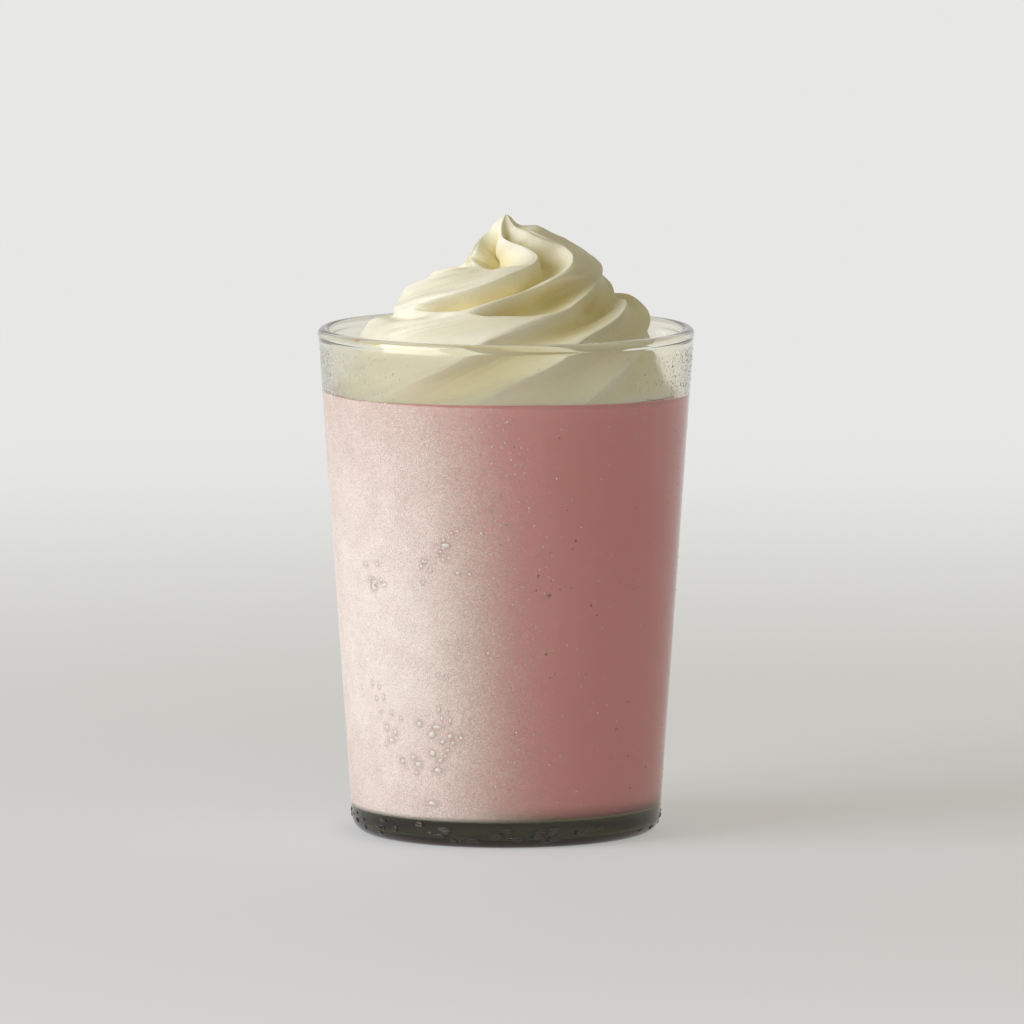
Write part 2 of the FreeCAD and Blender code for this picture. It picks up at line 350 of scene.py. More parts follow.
def mottle_group():
    """Uneven patches from fine to coarse, 0 to 1; Stretch squeezes them along the height."""
    group = bpy.data.node_groups.new("mottle", "ShaderNodeTree")
    for name in ("Scale", "Stretch", "Low", "High"):
        group.interface.new_socket(name, in_out="INPUT", socket_type="NodeSocketFloat")
    group.interface.new_socket("Mask", in_out="OUTPUT", socket_type="NodeSocketFloat")
    nodes, links = group.nodes, group.links
    given = nodes.new("NodeGroupInput")
    result = nodes.new("NodeGroupOutput")
    place = nodes.new("ShaderNodeTexCoord")
    squeeze = nodes.new("ShaderNodeCombineXYZ")
    squeeze.inputs["X"].default_value = 1.0
    squeeze.inputs["Y"].default_value = 1.0
    links.new(given.outputs["Stretch"], squeeze.inputs["Z"])
    scaled = nodes.new("ShaderNodeVectorMath")
    scaled.operation = "MULTIPLY"
    links.new(place.outputs["Object"], scaled.inputs[0])
    links.new(squeeze.outputs[0], scaled.inputs[1])
    noise = nodes.new("ShaderNodeTexNoise")
    noise.inputs["Detail"].default_value = 4.0
    links.new(scaled.outputs[0], noise.inputs["Vector"])
    links.new(given.outputs["Scale"], noise.inputs["Scale"])
    spread = nodes.new("ShaderNodeMapRange")
    links.new(noise.outputs["Fac"], spread.inputs["Value"])
    links.new(given.outputs["Low"], spread.inputs["From Min"])
    links.new(given.outputs["High"], spread.inputs["From Max"])
    links.new(spread.outputs["Result"], result.inputs["Mask"])
    return group


mottle = mottle_group()


def add_mottle(tree, scale, stretch=1.0, low=0.35, high=0.65):
    """One use of the mottle group in a material; gives its mask."""
    node = tree.nodes.new("ShaderNodeGroup")
    node.node_tree = mottle
    for name, value in (("Scale", scale), ("Stretch", stretch), ("Low", low), ("High", high)):
        node.inputs[name].default_value = value
    return node.outputs["Mask"]


def times(tree, value, factor):
    """A mask times a number or another mask."""
    return combine(tree, "MULTIPLY", value, factor)


def plus(tree, value, other):
    """A mask plus a number or another mask."""
    return combine(tree, "ADD", value, other)


def two_tones(tree, shader, mask, tone, other_tone):
    """Base colour that runs from one tone to another where the mask is 1."""
    tones = tree.nodes.new("ShaderNodeMix")
    tones.data_type = "RGBA"
    tones.inputs["A"].default_value = tone
    tones.inputs["B"].default_value = other_tone
    tree.links.new(mask, tones.inputs["Factor"])
    tree.links.new(tones.outputs["Result"], shader.inputs["Base Color"])


def named_mask(tree, name):
    """The mask that set_mask stored on the mesh."""
    node = tree.nodes.new("ShaderNodeAttribute")
    node.attribute_name = name
    return node.outputs["Fac"]


def add_bump(tree, shader, height, distance, strength):
    """Fine relief on a shader from a mask."""
    relief = tree.nodes.new("ShaderNodeBump")
    relief.inputs["Strength"].default_value = strength
    relief.inputs["Distance"].default_value = distance
    tree.links.new(height, relief.inputs["Height"])
    tree.links.new(relief.outputs["Normal"], shader.inputs["Normal"])


punt_radius = BASE_RADIUS - FOOT_MARGIN
glass_outline = rounded_outline([
    (0, PUNT_DEPTH, 0),
    (punt_radius - 2 * PUNT_DEPTH, PUNT_DEPTH, PUNT_ROUND),
    (punt_radius, 0, PUNT_EDGE),
    (BASE_RADIUS, 0, HEEL_ROUND),
    *bead_corners(),
    (bore_radius(GLASS_FLOOR), GLASS_FLOOR, CORNER_ROUND),
    (0, GLASS_FLOOR, 0),
])


def misted_glass():
    """Glass that is dark in the thick foot, partly its own tint and partly painted shade, and clear in
    the wall, hazed where it is misted.
    """
    material, tree, shader = node_material("misted_glass")
    place = tree.nodes.new("ShaderNodeTexCoord")
    level = tree.nodes.new("ShaderNodeSeparateXYZ")
    tree.links.new(place.outputs["Object"], level.inputs[0])
    # The foot's dark tint is partly the glass's own colour and partly painted shade.
    thick = tree.nodes.new("ShaderNodeMapRange")
    thick.inputs["From Min"].default_value = GLASS_FLOOR - FOOT_TINT_AND_SHADE_STARTS
    thick.inputs["From Max"].default_value = GLASS_FLOOR - FOOT_TINT_AND_SHADE_FULL
    tree.links.new(level.outputs["Z"], thick.inputs["Value"])
    two_tones(tree, shader, thick.outputs["Result"], WALL_TINT, FOOT_TINT_AND_PAINTED_SHADE)
    shader.inputs["Transmission Weight"].default_value = 1.0
    shader.inputs["IOR"].default_value = 1.5
    shader.inputs["Specular IOR Level"].default_value = 0.5
    misted = named_mask(tree, "misted")
    patches = plus(tree, times(tree, add_mottle(tree, 60.0), 0.5), 0.5)
    haze = times(tree, times(tree, misted, patches), MIST_HAZE)
    tree.links.new(plus(tree, haze, POLISH), shader.inputs["Roughness"])
    fine = times(tree, add_mottle(tree, 1300.0, stretch=0.6, low=0.3, high=0.7), misted)
    add_bump(tree, shader, fine, 0.03 * MM, 0.5)
    melt = tree.nodes.new("ShaderNodeVolumeAbsorption")
    melt.inputs["Color"].default_value = MELT_COLOUR
    melt.inputs["Density"].default_value = MELT_DENSITY
    tree.links.new(melt.outputs["Volume"], tree.nodes["Material Output"].inputs["Volume"])
    return material


def up_to_one(value):
    """The value, kept between 0 and 1."""
    return min(max(value, 0.0), 1.0)


def mist_on_glass(mesh):
    """How much mist each place has: all of the outside wall, and the wall above the drink."""
    values = []
    for vertex in mesh.vertices:
        radius, height = math.hypot(vertex.co.x, vertex.co.y), vertex.co.z
        below_bead = up_to_one((GLASS_HEIGHT - 2.0 * BEAD_RADIUS - height) / MIST_FADE)
        if radius > wall_radius(height) - WALL / 2:
            above_heel = up_to_one((height - DRY_HEEL) / HEEL_FADE)
            fog = MIST_ABOVE_DRINK if height > DRINK_LEVEL else MIST_BESIDE_DRINK
            values.append(fog * below_bead * above_heel)
        elif height > DRINK_LEVEL - 1 * MM:
            values.append(MIST_INSIDE * below_bead)
        else:
            values.append(0.0)
    set_mask(mesh, "misted", values)


tumbler = turned_mesh("tumbler", split_straight(glass_outline))
mist_on_glass(tumbler)
add_piece("tumbler", tumbler, misted_glass(), "glass", "glass")

# ---------------------------------------------------------------- mist
# The bloom of condensation too fine to see as drops: a thin whitish film on the outside of the
# wall, thickest on the glass's left where the drops are and thin on its right. That whiteness on
# the left is partly mist and partly painted glare of the softbox.
MIST_LIFT = 0.03 * MM
MIST_FOOT = 6.2 * MM
MIST_TOP = DRINK_LEVEL + 0.4 * MM
MIST_FOOT_FADE = 0.012       # share of the mist's height over which it starts at the foot
MIST_AND_GLARE_FROM = -75              # degrees round the glass to the middle of its misted side, which is partly painted glare
MIST_AND_GLARE_EDGE = 72               # degrees from there to where half of the mist is left
MIST_AND_GLARE_EDGE_DRIFT = 9          # how much nearer that is at the drink line
MIST_AND_GLARE_EDGE_SOFT = 10.5
MIST_ALL_ROUND = 0.02
MIST_AT_FOOT = 0.66
MIST_LOSS_TO_TOP = 0.10
MIST_SWELL = 0.84            # it is thickest halfway up
MIST_AND_GLARE_TONES = ((0.96, 0.845, 0.805, 1), (0.99, 0.915, 0.885, 1))
SPECK_DEPTH = 0.8
SPECKS_FROM = 0.4            # thickness of mist from which the specks are at full depth
BEADS_TO = 46 * MM           # most beads of water are below here
ROW_AT_BEADS = 0.3 * MM
ROWS_ABOVE_BEADS = 100
BEAD_TAKES = 0.5             # share of the mist beside a bead that has run into it
BEAD_REACH = 1.7             # how far it takes mist from, in sizes of the bead
RUN_BEADS = 18
RUN_FROM, RUN_TO = (-31, 64), (-18, 73)   # degrees round the glass and height of its ends
RUN_SPREAD = (1.6, 1.3)
KNOT_BEADS = 9
KNOT, KNOT_SPREAD = (-49, 63), (3, 2)
BEADS = [  # degrees round the glass, then height, half width and half height in millimetres
    (-54, 37.9, 0.40, 0.47), (-50, 37.2, 0.36, 0.36), (-52, 34.4, 0.40, 0.40),
    (-48, 34.9, 0.36, 0.47), (-50, 31.2, 0.30, 0.30), (-44, 31.6, 0.36, 0.36),
    (-40, 30.4, 0.36, 0.36), (-47, 27.8, 0.55, 0.55), (-43, 26.8, 0.55, 0.50),
    (-45, 24.8, 0.80, 0.50), (-48, 23.6, 0.40, 0.33), (-32, 29.4, 0.65, 0.60),
    (-25, 28.9, 1.10, 0.45), (-27, 27.1, 0.80, 0.70), (-20, 26.9, 0.55, 0.55),
    (-16, 26.6, 0.42, 0.42), (-23, 25.5, 0.55, 0.42), (-19, 25.3, 0.42, 0.42),
    (-21, 23.5, 0.42, 0.42), (-22, 22.1, 0.33, 0.42), (-27, 22.6, 0.70, 0.60),
    (-24, 20.9, 0.55, 0.42), (-40, 20.1, 0.55, 0.50), (-35, 21.3, 0.55, 0.45),
    (-33, 19.7, 0.80, 0.62), (-25, 18.6, 0.90, 0.52), (-24, 33.3, 0.42, 0.55),
    (-21, 32.4, 0.33, 0.36), (-23, 31.1, 0.33, 0.50), (-20, 30.6, 0.33, 0.55),
    (-24, 41.4, 0.33, 0.42), (-21, 41.0, 0.33, 0.42), (-34, 17.6, 0.42, 0.40),
    (-28, 10.6, 0.95, 0.45), (-20, 72.5, 1.05, 0.50), (-6, 47.1, 0.33, 0.33),
    (-16, 76.0, 0.42, 0.33), (-16, 66.0, 0.45, 0.42), (-12, 65.8, 0.42, 0.33),
    (-19, 69.5, 0.36, 0.33), (-8, 75.6, 0.36, 0.33),
]


def front_beads():
    """The beads on the front of the glass, with a slanting run and a knot of others, in metres."""
    draw = np.random.default_rng(5)
    beads = list(BEADS)
    for _ in range(RUN_BEADS):
        along_run, width = draw.random(), draw.uniform(0.14, 0.42)
        place = [start + (end - start) * along_run + draw.normal(0, spread)
                 for start, end, spread in zip(RUN_FROM, RUN_TO, RUN_SPREAD)]
        beads.append((*place, width, width * draw.uniform(0.7, 1.1)))
    for _ in range(KNOT_BEADS):
        width = draw.uniform(0.25, 0.85)
        place = draw.normal(KNOT, KNOT_SPREAD)
        beads.append((*place, width, width * draw.uniform(0.5, 0.9)))
    return np.array(beads) * (1, MM, MM, MM)


FRONT_BEADS = front_beads()


def mist_left_by_beads(angles, height):
    """Share of the mist that is left at a height, where the rest has run into the beads."""
    left = np.ones(len(angles))
    for angle, middle, width, tall in FRONT_BEADS:
        aside = (angles - math.radians(angle)) * wall_radius(height)
        gap = np.hypot(aside / width, (height - middle) / tall)
        left *= 1 - BEAD_TAKES * np.exp(-(gap / BEAD_REACH) ** 2)
    return left


def mist_and_glare_thickness(up, from_middle):
    """Thickness at a share of the mist's height, at angles from the middle of its side; on that side it
    is partly mist and partly painted glare.
    """
    # The side term thickens the film on the glass's left: partly mist, partly painted glare.
    side = 1 / (1 + np.exp((from_middle - MIST_AND_GLARE_EDGE + MIST_AND_GLARE_EDGE_DRIFT * up) / MIST_AND_GLARE_EDGE_SOFT))
    fullest = MIST_AT_FOOT - MIST_LOSS_TO_TOP * up + MIST_SWELL * up * (1 - up)
    return min(up / MIST_FOOT_FADE, 1.0) * (MIST_ALL_ROUND + fullest * side)


def mist_and_glare_mesh():
    """One skin over the wall, finest at the beads; each point stores how thick the film is there, which
    on the left is partly mist and partly painted glare.
    """
    heights = np.concatenate([np.arange(MIST_FOOT, BEADS_TO, ROW_AT_BEADS),
                              np.linspace(BEADS_TO, DRINK_LEVEL, ROWS_ABOVE_BEADS), [MIST_TOP]])
    angles = np.radians(np.concatenate([np.arange(-60, -4, 0.4), np.arange(-4, 300, 2)]))
    from_middle = np.degrees(np.arccos(np.cos(angles - math.radians(MIST_AND_GLARE_FROM))))
    vertices, thick = [], []
    for height in heights:
        vertices += ring_points(wall_radius(height) + MIST_LIFT, height, angles)
        up = (height - MIST_FOOT) / (DRINK_LEVEL - MIST_FOOT)
        left = mist_left_by_beads(angles, height) * (height < MIST_TOP)
        thick.append(mist_and_glare_thickness(up, from_middle) * left)
    mesh = smooth_mesh("mist_and_glare_film", vertices, faces_between(len(heights), len(angles)))
    # This stored thickness is mist all round and, on the left, partly painted glare.
    set_mask(mesh, "mist", np.concatenate(thick))
    return mesh


def fine_mist_and_glare():
    """Whitish film, as opaque as it is thick, broken up into specks too fine to see apart; its thick
    whiteness on the left is partly painted glare.
    """
    material, tree, shader = node_material("fine_mist_and_glare")
    # The film's whitish tones paint the softbox's glare where the film is thick on the left.
    two_tones(tree, shader, add_mottle(tree, 900.0, low=0.3, high=0.7), *MIST_AND_GLARE_TONES)
    shader.inputs["Roughness"].default_value = 0.45
    patches = plus(tree, times(tree, add_mottle(tree, 150.0), 0.12), 0.94)
    mist = times(tree, named_mask(tree, "mist"), patches)
    specks = times(tree, add_mottle(tree, 6000.0, low=0.3, high=0.7), SPECK_DEPTH)
    specks = plus(tree, specks, -0.5 * SPECK_DEPTH)
    thin = tree.nodes.new("ShaderNodeMapRange")      # no specks where there is no mist
    thin.inputs["From Max"].default_value = SPECKS_FROM
    tree.links.new(mist, thin.inputs["Value"])
    tree.links.new(plus(tree, mist, times(tree, specks, thin.outputs["Result"])),
                   shader.inputs["Alpha"])
    return material


# Mist film whose whiteness on the glass's left is partly painted glare.
add_piece("mist_and_glare_film", mist_and_glare_mesh(), fine_mist_and_glare(), "glass")

# ---------------------------------------------------------------- milkshake
# Thick blended strawberry milkshake: opaque pink dairy that fills the bore. It reaches just
# into the wall, so that it wets the glass with no air between, and its edge sways a little.
WETS_GLASS = 0.25 * MM
SURFACE_SWAY = 0.55 * MM
SWAY_DEPTH = 8.0 * MM
MILKSHAKE_TONES = ((0.906, 0.350, 0.372, 1), (0.941, 0.398, 0.422, 1))
milkshake_outline = rounded_outline([
    (0, GLASS_FLOOR - WETS_GLASS, 0),
    (bore_radius(GLASS_FLOOR) + WETS_GLASS, GLASS_FLOOR - WETS_GLASS, CORNER_ROUND),
    (bore_radius(DRINK_LEVEL) + WETS_GLASS, DRINK_LEVEL, 0),
    (0, DRINK_LEVEL, 0),
])


def strawberry_milkshake():
    """Smooth pink with slow streaks, a little translucent."""
    material, tree, shader = node_material("strawberry_milkshake")
    two_tones(tree, shader, add_mottle(tree, 35.0, stretch=0.5, low=0.3, high=0.7), *MILKSHAKE_TONES)
    shader.inputs["Roughness"].default_value = 0.35
    shader.inputs["Subsurface Weight"].default_value = 0.15
    shader.inputs["Subsurface Radius"].default_value = (1.0, 0.45, 0.35)
    shader.inputs["Subsurface Scale"].default_value = 2.0 * MM
    return material


milkshake_mesh = turned_mesh("milkshake_filling", split_straight(milkshake_outline))
for vertex in milkshake_mesh.vertices:
    x, y, z = vertex.co
    near_top = max(z - DRINK_LEVEL + SWAY_DEPTH, 0) / SWAY_DEPTH
    vertex.co.z += SURFACE_SWAY * near_top * (y * y - x * x) / bore_radius(z) ** 2
add_piece("milkshake_filling", milkshake_mesh, strawberry_milkshake(), "milkshake", "milkshake")

# ---------------------------------------------------------------- whipped cream
# A swirl of whipped cream piped through a star nozzle with eight points: a leaning mound whose
# sharp ridges wind up to a pulled tip. Its foot spreads on the drink almost to the wall.
CREAM_GAP = 0.8 * MM
CREAM_FOOT = bore_radius(DRINK_LEVEL) - CREAM_GAP
CREAM_HEIGHT = packed_box[1][2] - DRINK_LEVEL
DEEPEST_GROOVE = 4.8 * MM
TIP_SHARE = 0.4 * MM / CREAM_FOOT
FOOT_TO_TIP = [  # right-hand radius and height, left-hand radius and height, as shares
    (1.000, 0.000, 1.000, 0.000), (0.970, 0.029, 0.967, 0.029), (0.933, 0.077, 0.928, 0.077),
    (0.903, 0.144, 0.893, 0.144), (0.888, 0.230, 0.869, 0.225), (0.878, 0.307, 0.844, 0.297),
    (0.873, 0.369, 0.814, 0.353), (0.839, 0.439, 0.762, 0.403), (0.765, 0.518, 0.701, 0.446),
    (0.661, 0.571, 0.646, 0.508), (0.587, 0.628, 0.582, 0.590), (0.555, 0.719, 0.466, 0.657),
    (0.484, 0.787, 0.350, 0.691), (0.370, 0.851, 0.257, 0.707), (0.257, 0.904, 0.232, 0.758),
    (0.188, 0.933, 0.183, 0.832), (0.096, 0.938, 0.116, 0.897), (0.052, 0.961, 0.070, 0.954),
    (0.031, 0.985, 0.032, 0.986), (TIP_SHARE, 1.000, TIP_SHARE, 1.000),
]
TWIST = [  # height, degrees that the ridges have wound by there
    (0.000, -99), (0.120, -83), (0.240, -66), (0.375, -52), (0.456, -34), (0.547, -11), (0.643, 20),
    (0.720, 43), (0.770, 60), (0.806, 66), (0.840, 60), (0.878, 38), (0.926, 24), (1.000, 16),
]
GROOVE = [  # height, share of the deepest groove
    (0.000, 0.05), (0.087, 0.60), (0.327, 0.88), (0.566, 1.00), (0.758, 1.00), (0.840, 0.88),
    (0.897, 0.56), (0.955, 0.14), (1.000, 0.02),
]
RIDGES = [  # degrees from the common twist, extra turn in the topmost curl and at the tip
    (-140, -8, 0), (-92, -34, 0), (-37, 1, -5), (0, -6, 25), (47, 0, 14), (86, 0, 4),
    (124, 0, 0), (170, 0, 0),
]
ALWAYS_OPEN, NEVER_CLOSED = -1.0, 2.0
GROOVES_BETWEEN = [  # share of depth, opening and closing height, place and bend of its bottom
    (1.0, ALWAYS_OPEN, NEVER_CLOSED, 0.5, 2.0), (1.6, 0.741, NEVER_CLOSED, 0.36, 1.3),
    (1.1, 0.500, NEVER_CLOSED, 0.36, 2.0), (1.25, 0.502, 0.624, 0.36, 2.0),
    (0.9, ALWAYS_OPEN, 0.566, 0.42, 2.0), (0.55, ALWAYS_OPEN, NEVER_CLOSED, 0.5, 2.0),
    (1.0, ALWAYS_OPEN, NEVER_CLOSED, 0.5, 2.0), (1.0, ALWAYS_OPEN, NEVER_CLOSED, 0.5, 2.0),
]
LEFT_IN_CLOSED = 0.12
OPENING_STRETCH = 0.03
CLOSING_STRETCH = 0.07
CURL_STRETCH = (0.710, 0.782)
TIP_STRETCH = (0.800, 0.900)
CREST_ROUND = 0.045
LOBE = (-62, 40, 0.303, 0.153, 1.0 * MM)      # angle, spread, height, spread, bulge
LOBE_SMOOTHS = 0.85
SEAM = (0.509, 0.058, 0.022, 1.6 * MM)      # height, rise, width, depth
SEAM_IN_FRONT = 0.15
RIDGE_LEAN = 0.09            # shifts points within a ridge, so that its crest leans
DRAG_LINES = 0.026 * MM      # fine lines that the nozzle drew along the ridges
WOBBLE = 0.16 * MM           # slow unevenness of the piping
FADES_TO_TIP = 14.0 * MM     # radius below which both fade
CREAM_COLUMNS = 48           # points across each ridge
CREAM_ROWS = 230
SETTLING_ROUNDS = 40         # for the twist, which depends on the height that it moves points to
SLOPE_STEP = 0.05            # along FOOT_TO_TIP, to each side of where a slope is taken
CREST_TONE = (0.905, 0.888, 0.795, 1)
# The groove tone is painted shade: darker and yellower in the creases.
GROOVE_PAINTED_SHADE = (0.860, 0.790, 0.520, 1)


def along(table, column, place):
    """Smooth curve through a table's rows at places on its first column."""
    keys = np.array([row[0] for row in table], float)
    values = np.array([row[column] for row in table], float)
    steps = np.diff(keys)
    slopes = np.diff(values) / steps
    tangents = np.empty_like(values)
    tangents[0], tangents[-1] = slopes[0], slopes[-1]
    tangents[1:-1] = (slopes[:-1] * steps[1:] + slopes[1:] * steps[:-1]) / (steps[:-1] + steps[1:])
    at = np.clip(np.searchsorted(keys, place, side="right") - 1, 0, len(steps) - 1)
    t = (place - keys[at]) / steps[at]
    value = (2 * t**3 - 3 * t**2 + 1) * values[at] + (3 * t**2 - 2 * t**3) * values[at + 1]
    bend = (t**3 - 2 * t**2 + t) * tangents[at] + (t**3 - t**2) * tangents[at + 1]
    return value + steps[at] * bend


def ease(value):
    """0 below 0, 1 above 1 and a smooth step between."""
    value = np.clip(value, 0, 1)
    return value * value * (3 - 2 * value)


def bell(offset, spread):
    """1 at no offset, falling off to both sides."""
    return np.exp(-(offset / spread) ** 2)


def ripples(draw, count, around, along_it):
    """Uneven field over the cream's skin: waves round it that drift on their way up."""
    columns = len(RIDGES) * CREAM_COLUMNS
    turn = np.arange(columns)[None, :] / columns * 2 * math.pi
    up = np.linspace(0, 2 * math.pi, CREAM_ROWS)[:, None]
    field = np.zeros((CREAM_ROWS, columns))
    for _ in range(count):
        start = draw.uniform(0, 2 * math.pi)
        field += np.sin(draw.integers(*around) * turn + draw.uniform(*along_it) * up + start)
    return field / math.sqrt(count / 2)


def cream_sides(places):
    """Radius and height of the right side, then of the left, at places in FOOT_TO_TIP."""
    rows = [(index, *row) for index, row in enumerate(FOOT_TO_TIP)]
    scale = (CREAM_FOOT, CREAM_HEIGHT, CREAM_FOOT, CREAM_HEIGHT)
    return [along(rows, column + 1, places)[:, None] * scale[column] for column in range(4)]


def even_places():
    """Places in FOOT_TO_TIP that lie evenly along the swirl's side."""
    fine = np.linspace(0, len(FOOT_TO_TIP) - 1, 2000)
    right_radius, right_height, left_radius, left_height = cream_sides(fine)
    radius = (right_radius + left_radius)[:, 0] / 2
    height = (right_height + left_height)[:, 0] / 2
    length = np.concatenate([[0], np.cumsum(np.hypot(np.diff(radius), np.diff(height)))])
    return np.interp(np.linspace(0, length[-1], CREAM_ROWS), length, fine)


def wound_ridges(sides, share, ridge):
    """Angle of each point, its share of the right-hand side, and its share of the height."""
    plan = np.array(RIDGES + [(RIDGES[0][0] + 360, *RIDGES[0][1:])], float)
    angle = plan[ridge, 0] + (plan[ridge + 1, 0] - plan[ridge, 0]) * share + np.zeros((CREAM_ROWS, 1))
    for _ in range(SETTLING_ROUNDS):
        right = (1 + np.sin(np.radians(angle))) / 2
        up = (sides[1] * right + sides[3] * (1 - right)) / CREAM_HEIGHT
        curl, tip = (ease((up - low) / (high - low)) for low, high in (CURL_STRETCH, TIP_STRETCH))
        start, end = (plan[k, 0] + plan[k, 1] * curl + plan[k, 2] * tip for k in (ridge, ridge + 1))
        angle += 0.5 * (start + (end - start) * share + along(TWIST, 1, up) - angle)
    return angle, right, up


def groove_depths(up, share, ridge):
    """How deep each point lies below the crests beside it."""
    depth, opens, closes, bottom, bend = np.array(GROOVES_BETWEEN)[ridge].T
    near = np.minimum(share / bottom, (1 - share) / (1 - bottom)) / 2
    half = math.hypot(0.5, CREST_ROUND) - CREST_ROUND
    across = (np.hypot(near, CREST_ROUND) - CREST_ROUND) / half
    is_open = ease((up - opens) / OPENING_STRETCH) * (1 - ease((up - closes) / CLOSING_STRETCH))
    depth = depth * (LEFT_IN_CLOSED + (1 - LEFT_IN_CLOSED) * is_open)
    return DEEPEST_GROOVE * along(GROOVE, 1, up) * depth * (1 - (1 - across) ** bend)


def cream_relief(angle, up, groove):
    """How far each point stands out from the plain mound: the lobe, the grooves and the seam."""
    lobe = bell((angle - LOBE[0] + 180) % 360 - 180, LOBE[1]) * bell(up - LOBE[2], LOBE[3])
    lean = np.sin(np.radians(angle))
    seam = bell(up - SEAM[0] - SEAM[1] * lean, SEAM[2])
    seam *= SEAM_IN_FRONT + (1 - SEAM_IN_FRONT) * np.abs(lean) ** 3
    return LOBE[4] * lobe - groove * (1 - LOBE_SMOOTHS * lobe) - SEAM[3] * seam


def cream_skin():
    """Skin of the swirl, row by row from foot to tip along its ridges, and how deep each point lies."""
    places = even_places()
    sides = cream_sides(places)
    before = cream_sides(np.maximum(places - SLOPE_STEP, 0))
    after = cream_sides(np.minimum(places + SLOPE_STEP, len(FOOT_TO_TIP) - 1))
    share = np.arange(CREAM_COLUMNS) / CREAM_COLUMNS
    share = np.tile(share - RIDGE_LEAN * np.sin(2 * math.pi * share), len(RIDGES))[None, :]
    ridge = np.repeat(np.arange(len(RIDGES)), CREAM_COLUMNS)
    angle, right, up = wound_ridges(sides, share, ridge)
    groove = groove_depths(up, share, ridge)

    radius = sides[0] * right + sides[2] * (1 - right)
    rise = sides[1] * right + sides[3] * (1 - right)
    out = (after[0] - before[0]) * right + (after[2] - before[2]) * (1 - right)
    climb = (after[1] - before[1]) * right + (after[3] - before[3]) * (1 - right)
    length = np.hypot(out, climb)

    piping = np.random.default_rng(11)
    uneven = DRAG_LINES * ripples(piping, 24, (60, 130), (-3, 3))
    uneven += WOBBLE * ripples(piping, 12, (4, 22), (-6, 6))
    bulge = cream_relief(angle, up, groove) + uneven * np.minimum(radius / FADES_TO_TIP, 1)
    radius = radius + bulge * climb / length
    rise = rise - bulge * out / length
    rise[0] = 0.0
    turned_by = np.radians(angle)
    skin = np.stack([radius * np.sin(turned_by), -radius * np.cos(turned_by), DRINK_LEVEL + rise], -1)
    return skin, np.clip(groove / DEEPEST_GROOVE, 0, 1)


def whipped_cream():
    """Soft grained cream, with painted shade: darker and yellower in its grooves."""
    material, tree, shader = node_material("whipped_cream")
    # Painted shade: the grooves take the darker, yellower tone.
    two_tones(tree, shader, named_mask(tree, "groove"), CREST_TONE, GROOVE_PAINTED_SHADE)
    add_bump(tree, shader, add_mottle(tree, 1100.0, low=0.25, high=0.75), 0.12 * MM, 0.5)
    shader.inputs["Roughness"].default_value = 0.5
    shader.inputs["Subsurface Weight"].default_value = 0.3
    shader.inputs["Subsurface Radius"].default_value = (1.0, 0.85, 0.55)
    shader.inputs["Subsurface Scale"].default_value = 1.6 * MM
    return material


def cream_mesh():
    """The skin closed by a flat foot on the drink and by its tip."""
    skin, depth = cream_skin()
    rows, columns, _ = skin.shape
    vertices = skin.reshape(-1, 3).tolist()
    tip = skin[-1].mean(axis=0)
    foot_centre, tip_centre = len(vertices), len(vertices) + 1
    vertices += [(0, 0, DRINK_LEVEL), (float(tip[0]), float(tip[1]), float(skin[-1, :, 2].max()))]
    faces = faces_between(rows, columns)
    faces += closing_faces(columns, 0, foot_centre, (rows - 1) * columns, tip_centre)
    mesh = smooth_mesh("cream_swirl", vertices, faces)
    # The groove mask also paints shade into the cream's creases.
    set_mask(mesh, "groove", np.append(depth.ravel(), [0.0, 0.0]))
    return mesh


add_piece("cream_swirl", cream_mesh(), whipped_cream(), "whipped_cream", "whipped_cream")

# ---------------------------------------------------------------- condensation
# Clear water that the cold wall has drawn from the air: a scatter of fine droplets all round,
# and small clusters of larger beads that have run together. Each sits on the glass by its rim.
DROP_SINK = 0.08 * MM
DROPLETS = 2200
SPRAY_DROPLETS = 260
FOG_DROPLETS = 900
FOOT_DROPS = 70
LARGEST_DROPLET = 0.24 * MM
SPRAY_AT, SPRAY_SPREAD = -8, 11      # degrees round the glass
FOG_ON_LEFT = 0.7                    # share of the drops above the drink, the rest on the right
LEFT_FOG, LEFT_FOG_SPREAD = -64, 14
RIGHT_FOG, RIGHT_FOG_SPREAD = 66, 18
BACK_CLUSTERS = ((120, 66), (165, 30), (-150, 50), (-125, 28))   # degrees round the glass, height
CLUSTER_BEADS = 26
# Tint of clear water, and the white of the painted glints on the whitish drops.
WATER_TINT_AND_PAINTED_GLINT = (0.98, 0.96, 0.93, 1)


def outside_radius(height):
    """Outside radius of the glass at a height, with the round of its heel."""
    half_angle = (math.pi / 2 + math.atan((RIM_RADIUS - BASE_RADIUS) / GLASS_HEIGHT)) / 2
    centre = BASE_RADIUS - HEEL_ROUND / math.tan(half_angle)
    heel = centre + np.sqrt(np.maximum(HEEL_ROUND ** 2 - (HEEL_ROUND - height) ** 2, 0))
    return np.where(height < HEEL_ROUND, np.minimum(heel, wall_radius(height)), wall_radius(height))


